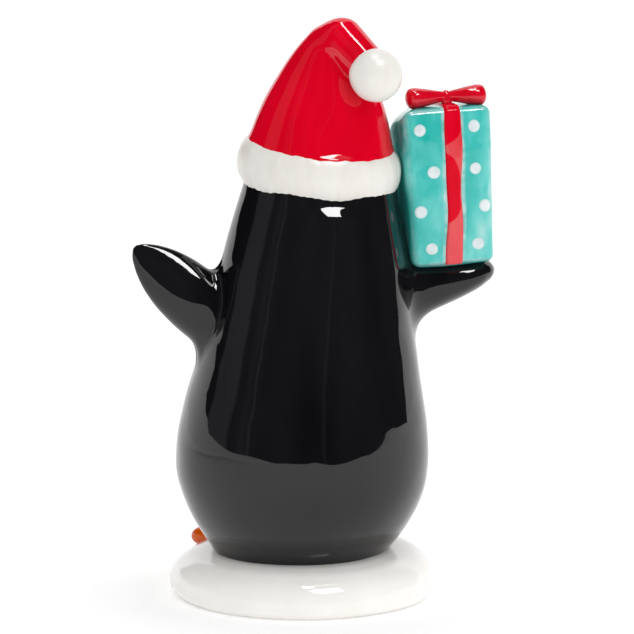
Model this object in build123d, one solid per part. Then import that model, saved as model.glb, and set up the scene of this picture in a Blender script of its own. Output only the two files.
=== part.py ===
from build123d import *
import os
from math import asin, atan2, degrees

# A glazed earthenware penguin figurine: a hollow slip-cast bird that stands on a hollow snow base, wears a
# drooping hat with a fur brim and a pom-pom, and carries a wrapped gift on its right flipper. Every piece is
# cast or pressed by itself, trimmed to its neighbours and luted to them with slip before the glaze firing.
# Frame: millimetres, +Z up, origin in the middle of the underside of the base, the bird faces -Y.

# Overrun of a cutting tool past the face that it cuts
OVERRUN = 2.0

# Snow base: an oval mound, hollow, with a foot ring and a kiln vent below
BASE_WIDTH = 102.0
BASE_DEPTH = 112.0
BASE_HEIGHT = 19.5
BASE_BULGE_HEIGHT = 8.0
BASE_FLOOR_INSET = 5.5
BASE_SHOULDER_INSET = 4.6
BASE_SHOULDER_HEIGHT = 15.2
BASE_SEAT_INSET = 12.0
BASE_WALL = 4.5
BASE_FLOOR = 5.0
FOOT_RING_WIDTH = 7.0
FOOT_RING_HEIGHT = 1.2
VENT_DIAMETER = 12.0

# Body and head: one turned shell whose axis leans towards the gift
BODY_SHIFT = 2.0
BODY_SETBACK = 5.0
BODY_LEAN_DEG = 3.9
BODY_FOOT_RADIUS = 34.3
BODY_BELLY_RADIUS = 49.2
BODY_BELLY_HEIGHT = 36.0
BODY_SHOULDER_RADIUS = 36.2
BODY_SHOULDER_HEIGHT = 113.0
BODY_RIM_RADIUS = 27.8
BODY_RIM_HEIGHT = 149.0
BODY_TRIM = 9.0
BODY_WALL = 4.5
LOWER_BELLY_SHARES = (0.66, 0.445)
FLANK_SHARES = (0.46, 0.47)
CHEEK_SHARES = (0.61, 0.61)

# White face and belly: a low relief on the front of the body
RELIEF = 0.8
BELLY_PATCH_WIDTH = 66.0
BELLY_PATCH_HEIGHT = 92.0
BELLY_PATCH_MIDDLE = 56.0
FACE_PATCH_DIAMETER = 30.0
FACE_PATCH_SPREAD = 11.0
FACE_PATCH_HEIGHT = 131.0
CHIN_WIDTH = 44.0
CHIN_HEIGHT = 120.0

# Eyes and beak
EYE_DIAMETER = 6.4
EYE_PROUD = 1.5
EYE_SPREAD = 9.6
EYE_HEIGHT = 134.5
BEAK_WIDTH = 13.0
BEAK_DEPTH = 9.0
BEAK_LENGTH = 12.0
BEAK_HEIGHT = 125.0
BEAK_DROOP_DEG = 22.0
BEAK_SHARES = ((-0.40, 1.00), (0.00, 1.00), (0.45, 0.72), (0.80, 0.42), (0.95, 0.22), (1.00, 0.10))

# Raised left flipper: a leaf that tapers to a round tip
FLIPPER_ROOT_OUT = 27.0
FLIPPER_ROOT_HEIGHT = 84.5
FLIPPER_LENGTH = 51.0
FLIPPER_RISE_DEG = 42.0
FLIPPER_WIDTH = 25.4
FLIPPER_THICKNESS = 17.0
FLIPPER_SHARES = (
    (-0.22, 1.00, 1.00),
    (0.10, 0.98, 0.92),
    (0.42, 1.00, 0.80),
    (0.62, 0.90, 0.68),
    (0.78, 0.70, 0.54),
    (0.90, 0.45, 0.38),
    (0.97, 0.24, 0.22),
    (1.00, 0.08, 0.09),
)

# Right flipper: a level palm that tapers towards its tip and carries the gift
PALM_HEIGHT = 111.3
PALM_ROOT_OUT = 26.0
PALM_PAST_GIFT = 19.0
PALM_ROOT_DEPTH = 35.0
PALM_WIDTH = 27.0
PALM_BED = 1.4
PALM_SHARES = (
    (0.00, 0.000, 1.000, 0.84),
    (0.26, 0.000, 0.820, 0.92),
    (0.50, 0.000, 0.635, 1.00),
    (0.74, 0.000, 0.463, 1.00),
    (0.90, 0.014, 0.317, 0.80),
    (0.98, 0.086, 0.151, 0.48),
    (1.00, 0.140, 0.057, 0.22),
)

# Feet: webbed, turned outwards and bedded in the snow, with two notches that part three toes
HEEL_SPREAD = 17.0
HEEL_FORWARD = 29.0
FOOT_TURN_DEG = 24.0
FOOT_DIP_DEG = 7.0
FOOT_LENGTH = 23.0
FOOT_WIDTH = 25.0
FOOT_THICKNESS = 11.0
FOOT_BED = 1.0
FOOT_SHARES = (
    (-0.10, 0.50, 0.80),
    (0.10, 0.62, 0.94),
    (0.45, 0.82, 1.00),
    (0.80, 1.00, 0.86),
    (0.95, 0.92, 0.58),
    (1.00, 0.80, 0.24),
)
TOE_NOTCH_SHARE = 0.17
TOE_NOTCH_DIAMETER = 4.4
TOE_NOTCH_DEPTH = 2.8

# Hat crown: a turned cone that sits on the rim of the head and leans back
HAT_PITCH_DEG = 9.5
HAT_ROLL_DEG = 0.4
HAT_STEP = 1.0
CROWN_RADIUS = 28.2
CROWN_HEIGHT = 57.0
CROWN_WALL = 4.0
CROWN_SHARES = ((1.00, 0.00), (0.97, 0.17), (0.84, 0.41), (0.53, 0.73), (0.33, 0.87))

# Hat tail: the point of the hat, folded over to the back and the right, with a pom-pom on its end
TAIL_HEIGHT = 51.0
TAIL_OUT = 6.5
TAIL_RADIUS = 8.4
TAIL_END_RADIUS = 7.4
TAIL_LENGTH = 22.5
TAIL_DROP_DEG = 25.0
TAIL_TURN_DEG = 58.0
POM_DIAMETER = 20.4
POM_SOCKET_SHARE = 0.5

# Hat brim: a rolled fur band that hides the joint of head and crown
BRIM_PROUD = 4.2
BRIM_BED = 2.4
BRIM_HEIGHT = 20.2
BRIM_ROLL_DEG = 1.2

# Gift box: a hollow box, a little wider at the top, that leans against the hat
GIFT_OUT = 58.0
GIFT_FORWARD = 2.0
GIFT_LEAN_DEG = 3.4
GIFT_HEIGHT = 60.4
GIFT_WIDTH = 33.0
GIFT_TOP_WIDTH = 35.4
GIFT_DEPTH = 30.0
GIFT_TOP_DEPTH = 32.0
GIFT_EDGE = 3.6
GIFT_WALL = 4.0
GIFT_VENT_DIAMETER = 3.0

# Ribbon: one raised band up the back, over the top and down the front of the box
RIBBON_WIDTH = 5.8
RIBBON_PROUD = 1.1
RIBBON_OFFSET = 1.7
RIBBON_HEM = 2.0

# Bow: two puffed loops and a knot on top of the box, near its back edge
BOW_BACK = 7.0
LEFT_LOOP_LENGTH = 16.0
RIGHT_LOOP_LENGTH = 15.8
RIGHT_LOOP_RISE = -0.4
LOOP_HEIGHT = 7.8
LOOP_DEPTH = 10.5
LOOP_BED = 0.3
LOOP_SHARES = (
    (0.07, 0.40, 0.40),
    (0.30, 0.60, 0.66),
    (0.62, 0.88, 0.95),
    (0.85, 1.00, 1.00),
    (0.96, 0.84, 0.84),
    (1.00, 0.50, 0.55),
)
KNOT_DIAMETER = 4.8
KNOT_HEIGHT = 8.0
KNOT_BED = 2.0

# Places that several pieces share
RIGHT_ANGLE_DEG = 90
HALF_TURN_DEG = 180
BODY_PLACE = Location((BODY_SHIFT, BODY_SETBACK, BASE_HEIGHT), (0, -BODY_LEAN_DEG, 0))
HAT_PLACE = BODY_PLACE * Location((HAT_STEP, 0, BODY_RIM_HEIGHT), (-HAT_PITCH_DEG, HAT_ROLL_DEG, 0))
BRIM_PLACE = HAT_PLACE * Location((0, 0, 0), (0, -BRIM_ROLL_DEG, 0))
TAIL_PLACE = (
    HAT_PLACE
    * Location((0, 0, TAIL_HEIGHT), (0, 0, HALF_TURN_DEG - TAIL_TURN_DEG))
    * Location((TAIL_OUT, 0, 0), (0, RIGHT_ANGLE_DEG + TAIL_DROP_DEG, 0))
)
FLIPPER_PLACE = Location((0, BODY_SETBACK, BASE_HEIGHT))
PALM_LENGTH = GIFT_OUT + PALM_PAST_GIFT - PALM_ROOT_OUT
GIFT_PLACE = FLIPPER_PLACE * Location((-GIFT_OUT, -GIFT_FORWARD, PALM_HEIGHT), (0, GIFT_LEAN_DEG, 0))
BOW_PLACE = GIFT_PLACE * Location((-RIBBON_OFFSET, BOW_BACK, GIFT_HEIGHT))


def turned(edges):
    """Solid of revolution about Z, from a closed outline drawn as (radius, height)."""
    return revolve(Plane.XZ * make_face(edges), Axis.Z)


def spheroid(radius, half_height):
    """Egg of revolution about Z."""
    arc = EllipticalCenterArc((0, 0), radius, half_height, -RIGHT_ANGLE_DEG, arc_size=HALF_TURN_DEG)
    return turned([arc, Line(arc @ 1, arc @ 0)])


def lofted_ellipses(sections):
    """Smooth solid through ellipses, each given as (place, half size along X, half size along Y)."""
    return loft([place * Ellipse(half_x, half_y) for place, half_x, half_y in sections])


def between(start, end, shares):
    """Point that lies at the given shares of the way from one point to another."""
    return tuple(a + (b - a) * share for a, b, share in zip(start, end, shares))


def oval(height, inset):
    """Section of the base at a height, drawn in from its widest outline."""
    return Location((0, 0, height)), BASE_WIDTH / 2 - inset, BASE_DEPTH / 2 - inset


def base_mound():
    """The outside of the snow base, solid right through."""
    return lofted_ellipses(
        [
            oval(0, BASE_FLOOR_INSET),
            oval(BASE_BULGE_HEIGHT, 0),
            oval(BASE_SHOULDER_HEIGHT, BASE_SHOULDER_INSET),
            oval(BASE_HEIGHT, BASE_SEAT_INSET),
        ]
    )


def make_snow_base():
    cavity_top = BASE_SHOULDER_HEIGHT - BASE_WALL
    cavity = lofted_ellipses(
        [
            oval(BASE_FLOOR, BASE_FLOOR_INSET + BASE_WALL),
            oval(BASE_BULGE_HEIGHT, BASE_WALL),
            oval(cavity_top, BASE_SHOULDER_INSET + BASE_WALL),
        ]
    )
    opening_depth = BASE_HEIGHT - BASE_FLOOR
    opening = Cylinder(BODY_FOOT_RADIUS - BODY_WALL, 2 * opening_depth)
    opening = Pos(BODY_SHIFT, BODY_SETBACK, BASE_HEIGHT) * opening
    ring_inset = BASE_FLOOR_INSET + FOOT_RING_WIDTH
    recess = lofted_ellipses([oval(-OVERRUN, ring_inset), oval(FOOT_RING_HEIGHT, ring_inset)])
    vent = Cylinder(VENT_DIAMETER / 2, 2 * (BASE_FLOOR + OVERRUN))
    return base_mound() - cavity - opening - recess - vent


def body_flank(offset):
    """Outline of the body from foot to rim, drawn as (radius, height) and moved out by an offset."""
    foot = (BODY_FOOT_RADIUS, 0)
    belly = (BODY_BELLY_RADIUS, BODY_BELLY_HEIGHT)
    shoulder = (BODY_SHOULDER_RADIUS, BODY_SHOULDER_HEIGHT)
    rim = (BODY_RIM_RADIUS, BODY_RIM_HEIGHT)
    points = [
        foot,
        between(foot, belly, LOWER_BELLY_SHARES),
        belly,
        between(belly, shoulder, FLANK_SHARES),
        shoulder,
        between(shoulder, rim, CHEEK_SHARES),
        rim,
    ]
    return Spline(*[(radius + offset, height) for radius, height in points])


def body_turning(offset):
    """The body turned about its own axis and left long at both ends."""
    flank = body_flank(offset)
    bottom = flank @ 0 - (flank % 0) * BODY_TRIM
    top = flank @ 1 + (flank % 1) * BODY_TRIM
    outline = [
        Line((0, bottom.Y), bottom),
        Line(bottom, flank @ 0),
        flank,
        Line(flank @ 1, top),
        Line(top, (0, top.Y)),
        Line((0, top.Y), (0, bottom.Y)),
    ]
    return BODY_PLACE * turned(outline)


def body_solid(offset=0):
    """The body trimmed to its seat on the base and to the tilted rim under the hat."""
    above_base = split(body_turning(offset), Plane.XY.offset(BASE_HEIGHT), Keep.TOP)
    return split(above_base, Plane(HAT_PLACE), Keep.BOTTOM)


def make_body_shell():
    return body_solid() - body_turning(-BODY_WALL)


def patch_prism():
    """Prism through the front of the body, in the outline of the white face and belly."""
    outline = Pos(0, BELLY_PATCH_MIDDLE) * Ellipse(BELLY_PATCH_WIDTH / 2, BELLY_PATCH_HEIGHT / 2)
    half_belly = BELLY_PATCH_WIDTH / 2
    half_chin = CHIN_WIDTH / 2
    neck = Polyline(
        (-half_belly, BELLY_PATCH_MIDDLE),
        (half_belly, BELLY_PATCH_MIDDLE),
        (half_chin, CHIN_HEIGHT),
        (-half_chin, CHIN_HEIGHT),
        close=True,
    )
    outline += make_face(neck)
    for side in (-1, 1):
        outline += Pos(side * FACE_PATCH_SPREAD, FACE_PATCH_HEIGHT) * Circle(FACE_PATCH_DIAMETER / 2)
    return BODY_PLACE * extrude(Plane.XZ * outline, 2 * BODY_BELLY_RADIUS)


def make_white_front():
    relief = body_solid(RELIEF) - body_solid()
    return (relief & patch_prism()) - brim_roll()


def front_place(side_step, height):
    """Place on the white front, with Z pointing straight out of its surface."""
    flank = body_flank(RELIEF)
    point = flank.find_intersection_points(Axis((0, height), (1, 0)))[0]
    slope = flank % flank.param_at_point(point)
    turn = degrees(asin(side_step / point.X))
    tilt = degrees(atan2(-slope.X, slope.Y))
    facing = BODY_PLACE * Location((0, 0, height), (0, 0, turn))
    return facing * Location((0, -point.X, 0), (RIGHT_ANGLE_DEG - tilt, 0, 0))


def make_eye(side):
    """One eye: the cap of a ball that is sunk in the face."""
    ball_radius = (EYE_DIAMETER**2 / 4 + EYE_PROUD**2) / (2 * EYE_PROUD)
    place = front_place(side * EYE_SPREAD, EYE_HEIGHT) * Location((0, 0, EYE_PROUD - ball_radius))
    return place * Sphere(ball_radius) - body_solid(RELIEF)


def make_beak():
    root = front_place(0, BEAK_HEIGHT) * Location((0, 0, 0), (BEAK_DROOP_DEG, 0, 0))
    sections = [
        (root * Location((0, 0, along * BEAK_LENGTH)), size * BEAK_WIDTH / 2, size * BEAK_DEPTH / 2)
        for along, size in BEAK_SHARES
    ]
    return lofted_ellipses(sections) - body_solid(RELIEF)


def make_left_flipper():
    from_upright = RIGHT_ANGLE_DEG - FLIPPER_RISE_DEG
    root = FLIPPER_PLACE * Location((FLIPPER_ROOT_OUT, 0, FLIPPER_ROOT_HEIGHT), (0, from_upright, 0))
    sections = []
    for along, width, thick in FLIPPER_SHARES:
        place = root * Location((0, 0, along * FLIPPER_LENGTH))
        sections.append((place, width * FLIPPER_WIDTH / 2, thick * FLIPPER_THICKNESS / 2))
    return lofted_ellipses(sections) - body_solid()


def palm_leaf():
    """The right flipper before it is trimmed, level on top but for its tip, with its sections square to X."""
    sections = []
    for along, drop, depth, width in PALM_SHARES:
        half_depth = depth * PALM_ROOT_DEPTH / 2
        top = PALM_HEIGHT + PALM_BED - drop * PALM_ROOT_DEPTH
        centre = (-PALM_ROOT_OUT - along * PALM_LENGTH, -GIFT_FORWARD, top - half_depth)
        place = FLIPPER_PLACE * Location(centre, (0, -RIGHT_ANGLE_DEG, 0))
        sections.append((place, half_depth, width * PALM_WIDTH / 2))
    return lofted_ellipses(sections)


def make_right_flipper():
    return palm_leaf() - body_solid() - gift_block()


def make_foot(side):
    """One webbed foot, lofted from heel to toes."""
    heel = Location((BODY_SHIFT + side * HEEL_SPREAD, BODY_SETBACK - HEEL_FORWARD, BASE_HEIGHT - FOOT_BED))
    heel = heel * Location((0, 0, 0), (FOOT_DIP_DEG, 0, side * FOOT_TURN_DEG))
    forward = heel * Location((0, 0, 0), (RIGHT_ANGLE_DEG, 0, 0))
    sections = [
        (forward * Location((0, 0, along * FOOT_LENGTH)), width * FOOT_WIDTH / 2, thick * FOOT_THICKNESS / 2)
        for along, width, thick in FOOT_SHARES
    ]
    foot = lofted_ellipses(sections)
    for step in (-1, 1):
        notch_end = TOE_NOTCH_DEPTH - TOE_NOTCH_DIAMETER / 2 - FOOT_LENGTH
        notch_place = heel * Location((step * TOE_NOTCH_SHARE * FOOT_WIDTH, notch_end, 0))
        foot -= notch_place * Cylinder(TOE_NOTCH_DIAMETER / 2, 2 * FOOT_THICKNESS)
    return foot - base_mound() - body_solid()


def crown_points(inset):
    return [(CROWN_RADIUS * radius - inset, CROWN_HEIGHT * height) for radius, height in CROWN_SHARES]


def crown_solid():
    """The hat without its hollow: the cone and the folded tail in one piece."""
    peak = (0, CROWN_HEIGHT)
    side = Spline(*crown_points(0), peak, tangents=[(0, 1), (-1, 0)])
    cone = HAT_PLACE * turned([side, Line(peak, (0, 0)), Line((0, 0), side @ 0)])
    tail_end = TAIL_LENGTH - POM_SOCKET_SHARE * POM_DIAMETER / 2
    cap = CenterArc((0, 0), TAIL_RADIUS, -RIGHT_ANGLE_DEG, RIGHT_ANGLE_DEG)
    rest = Polyline(cap @ 1, (TAIL_END_RADIUS, tail_end), (0, tail_end), cap @ 0)
    return cone + TAIL_PLACE * turned([cap, rest])


def make_hat_crown():
    points = crown_points(CROWN_WALL)
    inside = Spline(*points)
    top = (0, points[-1][1])
    hollow = turned([inside, Line(inside @ 1, top), Line(top, (0, 0)), Line((0, 0), inside @ 0)])
    return crown_solid() - HAT_PLACE * hollow


def make_pom_pom():
    return TAIL_PLACE * Location((0, 0, TAIL_LENGTH)) * Sphere(POM_DIAMETER / 2) - crown_solid()


def brim_roll():
    """The fur band as a full ring, before head and crown are cut out of it."""
    section = Pos(BODY_RIM_RADIUS - BRIM_BED, 0) * Ellipse(BRIM_PROUD + BRIM_BED, BRIM_HEIGHT / 2)
    return BRIM_PLACE * revolve(Plane.YZ * section, Axis.Z)


def make_hat_brim():
    return brim_roll() - body_solid() - crown_solid()


def gift_block(grow=0):
    """The outside of the box, grown on its sides and top by the thickness of what is wrapped round it."""
    edge = GIFT_EDGE + grow
    bottom = RectangleRounded(GIFT_WIDTH + 2 * grow, GIFT_DEPTH + 2 * grow, edge)
    top = RectangleRounded(GIFT_TOP_WIDTH + 2 * grow, GIFT_TOP_DEPTH + 2 * grow, edge)
    block = loft([bottom, Pos(0, 0, GIFT_HEIGHT + grow) * top])
    ends = block.faces().sort_by(Axis.Z)
    return GIFT_PLACE * fillet(ends[0].edges() + ends[-1].edges(), GIFT_EDGE)


def make_gift_box():
    floor = RectangleRounded(GIFT_WIDTH - 2 * GIFT_WALL, GIFT_DEPTH - 2 * GIFT_WALL, GIFT_EDGE)
    ceiling = RectangleRounded(GIFT_TOP_WIDTH - 2 * GIFT_WALL, GIFT_TOP_DEPTH - 2 * GIFT_WALL, GIFT_EDGE)
    hollow = loft([Pos(0, 0, GIFT_WALL) * floor, Pos(0, 0, GIFT_HEIGHT - GIFT_WALL) * ceiling])
    vent_forward = GIFT_DEPTH / 2 - GIFT_WALL - GIFT_VENT_DIAMETER / 2
    vent = Pos(0, -vent_forward, 0) * Cylinder(GIFT_VENT_DIAMETER / 2, 2 * (GIFT_WALL + OVERRUN))
    return gift_block() - GIFT_PLACE * (hollow + vent) - brim_roll() - body_solid()


def ribbon_slice():
    """The box, grown by the ribbon, as far as the ribbon covers it."""
    slab = Box(RIBBON_WIDTH, 2 * GIFT_TOP_DEPTH, 2 * GIFT_HEIGHT)
    slab = GIFT_PLACE * Location((-RIBBON_OFFSET, 0, GIFT_HEIGHT + RIBBON_HEM)) * slab
    return gift_block(RIBBON_PROUD) & slab


def make_gift_ribbon():
    return ribbon_slice() - gift_block()


def bow_loop(side, length, rise):
    """One loop of the bow, flaring out from the knot and rising or falling towards its end."""
    sections = []
    for along, height, depth in LOOP_SHARES:
        centre = (side * along * length, 0, LOOP_HEIGHT / 2 - LOOP_BED + along * rise)
        place = BOW_PLACE * Location(centre, (0, side * RIGHT_ANGLE_DEG, 0))
        sections.append((place, height * LOOP_HEIGHT / 2, depth * LOOP_DEPTH / 2))
    return lofted_ellipses(sections)


def knot_egg():
    return BOW_PLACE * Pos(0, 0, KNOT_HEIGHT / 2 - KNOT_BED) * spheroid(KNOT_DIAMETER / 2, KNOT_HEIGHT / 2)


def make_bow_loop(side, length, rise):
    return bow_loop(side, length, rise) - gift_block() - ribbon_slice() - knot_egg()


def make_bow_knot():
    return knot_egg() - gift_block() - ribbon_slice()


PIECES = {
    "snow_base": make_snow_base,
    "body_shell": make_body_shell,
    "white_front": make_white_front,
    "left_eye": lambda: make_eye(1),
    "right_eye": lambda: make_eye(-1),
    "beak": make_beak,
    "left_flipper": make_left_flipper,
    "right_flipper": make_right_flipper,
    "left_foot": lambda: make_foot(1),
    "right_foot": lambda: make_foot(-1),
    "hat_crown": make_hat_crown,
    "hat_brim": make_hat_brim,
    "pom_pom": make_pom_pom,
    "gift_box": make_gift_box,
    "gift_ribbon": make_gift_ribbon,
    "bow_left_loop": lambda: make_bow_loop(1, LEFT_LOOP_LENGTH, 0),
    "bow_right_loop": lambda: make_bow_loop(-1, RIGHT_LOOP_LENGTH, RIGHT_LOOP_RISE),
    "bow_knot": make_bow_knot,
}

os.makedirs("parts", exist_ok=True)
for name, make in PIECES.items():
    piece = make()
    export_step(piece, f"parts/{name}.step")
    print(name, len(piece.solids()), round(piece.volume), flush=True)
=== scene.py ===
import math

import bpy
import numpy as np
from mathutils import Matrix, Vector


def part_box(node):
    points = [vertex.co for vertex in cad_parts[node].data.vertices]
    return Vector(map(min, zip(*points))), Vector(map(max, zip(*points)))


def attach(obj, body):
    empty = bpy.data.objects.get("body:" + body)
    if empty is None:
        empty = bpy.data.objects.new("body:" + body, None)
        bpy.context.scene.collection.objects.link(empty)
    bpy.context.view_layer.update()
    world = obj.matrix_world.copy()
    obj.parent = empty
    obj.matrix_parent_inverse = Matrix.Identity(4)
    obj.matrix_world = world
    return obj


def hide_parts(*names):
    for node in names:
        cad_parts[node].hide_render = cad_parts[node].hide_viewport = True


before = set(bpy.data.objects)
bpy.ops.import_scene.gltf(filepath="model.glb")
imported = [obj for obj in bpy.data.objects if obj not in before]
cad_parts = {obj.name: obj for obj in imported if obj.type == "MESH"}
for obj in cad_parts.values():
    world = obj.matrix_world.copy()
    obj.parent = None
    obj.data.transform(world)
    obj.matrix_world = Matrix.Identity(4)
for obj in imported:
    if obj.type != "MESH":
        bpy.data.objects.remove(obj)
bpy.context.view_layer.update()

# The figurine is modelled in millimetres and handed to Blender in metres
MM = 0.001

# Sides of the bird along X
LEFT = 1
RIGHT = -1

# Camera of the photo: behind the figurine and a little to its left
PHOTO_AZIMUTH_DEG = 170.0
PHOTO_ELEVATION_DEG = 7.4
PHOTO_DISTANCE = 1300.0
PHOTO_TARGET = (-6.3, 5.0, 109.4)
PHOTO_LENS = 190.4
PHOTO_SENSOR = 36.0
PHOTO_REACH = 50.0

# Outlines give a radius or a half size at places along a piece. Waves give a height, a length and a seed

# Snow base: an oval mound, with snow that is fuller on the side of the gift
BASE_WIDTH = 102.0
BASE_DEPTH = 112.0
BASE_HEIGHT = 19.5
BASE_OUTLINE = (
    (0.0, 47.8), (2.2, 49.9), (6.4, 51.0), (11.0, 49.4), (14.6, 45.8), (17.4, 41.4),
    (19.3, 36.0), (20.1, 30.0),
)
BASE_EDGE = 3.0
SNOW_SHIFT = -1.2
SNOW_WIDEN = 1.017
SNOW_LIFT = 2.4
SNOW_LIFT_FROM = (10.0, 46.0)
SNOW_LIFT_HEIGHT = (5.0, 12.0)
DRIFT_LENGTH = 46.0
DRIFT_SEED = 21
DRIFT_RIM_INSET = 0.35
DRIFT_ON_RIM = 0.3
DRIFT_TOP_INSET = 0.2
DRIFT_ON_TOP = 0.5
GRAIN_HEIGHT = 0.05
GRAIN_LENGTH = 13.0
GRAIN_SEED = 22
FOOT_RING_INSET = 12.5
FOOT_RING_HEIGHT = 1.2
VENT_RADIUS = 6.0
VENT_TOP = 12.0

# Body: a turned form that leans towards the gift
BODY_ORIGIN = (2.0, 5.0, BASE_HEIGHT)
BODY_LEAN_DEG = 3.9
BODY_OUTLINE = (
    (-4.0, 31.5), (0.0, 34.3), (7.0, 39.6), (16.0, 44.6), (26.0, 48.2), (36.0, 49.2),
    (52.0, 47.6), (72.0, 43.4), (92.0, 39.4), (113.0, 36.0), (135.0, 31.1), (149.0, 27.8),
    (160.0, 25.0),
)
BODY_WAVES = (0.12, 34.0, 11)
BODY_FINE_WAVES = (0.035, 15.0, 12)
BODY_BED = 1.5
HEAD_HEIGHT = 149.0
HEAD_IN_HAT = 1.0
NECK_DENT = 2.5
NECK_DENT_TOP = -6.5
NECK_DENT_FOOT = -12.5
NECK_SWELL = 1.2
NECK_SWELL_FOOT = -34.0
BACK_DENT_ACROSS = -3.0
BACK_DENT_WIDTH = 10.0

# Left flipper, raised
FLIPPER_ROOT = (27.0, 5.0, 104.0)
FLIPPER_RISE_DEG = 42.0
FLIPPER_HALF_WIDTH = (
    (-11.2, 12.7), (5.1, 12.4), (21.4, 12.6), (31.6, 11.3), (39.8, 8.8), (45.9, 5.6),
    (49.3, 2.9), (50.8, 0.9),
)
FLIPPER_FRONT_THICKNESS = (
    (-11.2, 8.5), (5.1, 7.8), (21.4, 6.8), (31.6, 5.8), (39.8, 4.6), (45.9, 3.2),
    (49.3, 1.8), (50.8, 0.7),
)
FLIPPER_BACK_THICKNESS = (
    (-11.2, 9.0), (5.1, 10.2), (14.0, 11.0), (20.0, 10.7), (25.0, 9.5), (31.6, 7.1),
    (39.8, 4.1), (45.9, 2.1), (49.3, 1.1), (50.8, 0.6),
)
FLIPPER_RIDGE = 0.1
FLIPPER_FILLET = 6.0
FLIPPER_BACK_FILLET = 4.0
FLIPPER_BACK_FROM = (8.0, 13.0)

# Right flipper, the palm under the gift: its tip drops below the level of its top
PALM_ORIGIN = (-26.0, 3.0, 132.2)
PALM_HALF_DEPTH = (
    (-8.0, 19.6), (0.0, 17.5), (13.3, 14.4), (25.5, 11.1), (37.7, 8.1), (45.9, 5.5),
    (49.6, 2.7), (50.8, 0.9),
)
PALM_HALF_WIDTH = (
    (-8.0, 10.6), (0.0, 10.8), (13.3, 11.2), (25.5, 12.4), (34.0, 13.5), (41.0, 13.4),
    (46.0, 10.9), (49.6, 6.0), (50.8, 2.6),
)
PALM_TIP_DROP = ((-8.0, 0.0), (37.7, 0.0), (45.9, 0.6), (49.6, 3.0), (50.8, 4.6))
PALM_FILLET = 9.0

# White front of the body
FRONT_RELIEF = 0.8
FRONT_BED = 0.5
BELLY_PATCH = (33.0, 46.0)
BELLY_PATCH_HEIGHT = 56.0
FACE_PATCH_RADIUS = 15.0
FACE_PATCH_SPREAD = 11.0
FACE_PATCH_HEIGHT = 131.0
FACE_FILLET = 2.0
CHIN_HALF_WIDTH = 22.0
CHIN_HEIGHT = 120.0
CHIN_FILLET = 4.0
FRONT_EDGE = 1.2

# Eyes and beak
EYE_HALF_SIZE = (3.2, 1.9, 3.2)
EYE_SET_IN = 0.6
BEAK_RISE = 1.6
BEAK_TILT_DEG = -12.0
BEAK_HALF_WIDTH = ((-5.0, 6.5), (0.0, 6.5), (6.0, 4.9), (10.0, 3.0), (12.0, 1.6), (12.8, 0.6))
BEAK_HALF_HEIGHT = ((-5.0, 4.4), (0.0, 4.4), (6.0, 3.4), (10.0, 2.2), (12.0, 1.2), (12.8, 0.5))

# Feet: a pad and three toes each
FEET_MIDDLE = 2.0
FOOT_SPREAD = 17.0
FOOT_FORWARD = -24.0
FOOT_BED = 1.0
FOOT_TOE_OUT_DEG = 24.0
FOOT_PITCH_DEG = 7.0
PAD_FORWARD = -10.0
PAD_HALF_SIZE = (9.5, 13.0, 5.0)
TOE_SPREAD = 6.6
TOE_FORWARD = -17.0
TOE_FAN_DEG = 14.0
TOE_HALF_SIZE = (4.4, 6.6, 4.0)
TOE_FILLET = 2.2

# Hat
HAT_PITCH_DEG = 9.5
HAT_ROLL_DEG = 0.4
HAT_STEP = 1.0
CROWN_OUTLINE = (
    (-6.0, 28.6), (0.0, 28.2), (9.7, 27.4), (23.4, 23.7), (32.5, 19.6), (41.6, 14.9),
    (49.6, 9.6), (54.0, 6.0), (57.5, 1.4),
)
CROWN_HEIGHT = 56.4
CROWN_PEAK_EDGE = 4.0
CROWN_UNDER_BRIM = 4.0
CROWN_WAVES = (0.15, 22.0, 31)
HEM_HEIGHT = 9.2
HEM_FLARE = 0.7
HEM_REACH = 2.2
HEM_DENT = 2.8
HEM_DENT_REACH = 2.6
HEM_DENT_FADE = (12.0, 34.0)
TAIL_HEIGHT = 51.0
TAIL_OUT = 6.5
TAIL_TURN_DEG = 58.0
TAIL_DROP_DEG = 25.0
TAIL_LENGTH = 22.5
TAIL_RADIUS = 8.4
TAIL_END_RADIUS = 7.4
CREASE_FILLET = 0.9
FOLD_FILLET = 4.3
FOLD_HEIGHT = (43.5, 49.5)

# Fur of brim and pom-pom. Swags are a count round the brim, a start and a share
BRIM_ROLL_DEG = 1.2
BRIM_MIDDLE_RADIUS = 25.4
BRIM_HALF_WIDTH = 6.4
BRIM_HALF_HEIGHT = 9.9
FUR_SWAGS = ((7, 0.7, 1.0), (13, 2.1, 0.7), (29, 1.3, 0.6))
FUR_SWAG_ABOVE = 0.05
FUR_SWAG_BELOW = 0.12
FUR_SWAG_FADE = (0.0, 6.0)
TUFT_COUNT = 58
TUFT_SLANT = 0.22
TUFT_WANDER = 2.0
TUFT_WANDER_COUNT = 5
TUFT_ABOVE = 0.02
TUFT_BELOW = 0.07
FUR_WAVES = (0.10, 8.0, 41)
POM_INSET = 0.12
POM_WAVES = (0.1, 9.0, 51)

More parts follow.
